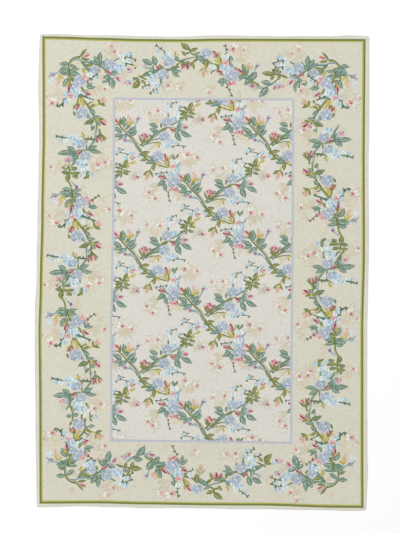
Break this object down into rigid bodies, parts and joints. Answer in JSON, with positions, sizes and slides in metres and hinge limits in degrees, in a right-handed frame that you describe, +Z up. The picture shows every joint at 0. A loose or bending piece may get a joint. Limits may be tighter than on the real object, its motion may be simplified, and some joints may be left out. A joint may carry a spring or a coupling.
{
  "type": "aubusson rug",
  "caption": "Flat hand-woven wool rug, a plain ground with a garland border and a trellis of roses in the middle.",
  "frame": {"origin": "on the floor, in the middle of the rug's box", "axes": "+X across the rug, +Y along its length, +Z up out of its face"},
  "size_m": [1.692, 2.4118, 0.0034],
  "materials": {
    "woven_wool": "matte"
  },
  "bodies": {
    "root": {"rug": "woven_wool"}
  },
  "joints": []
}
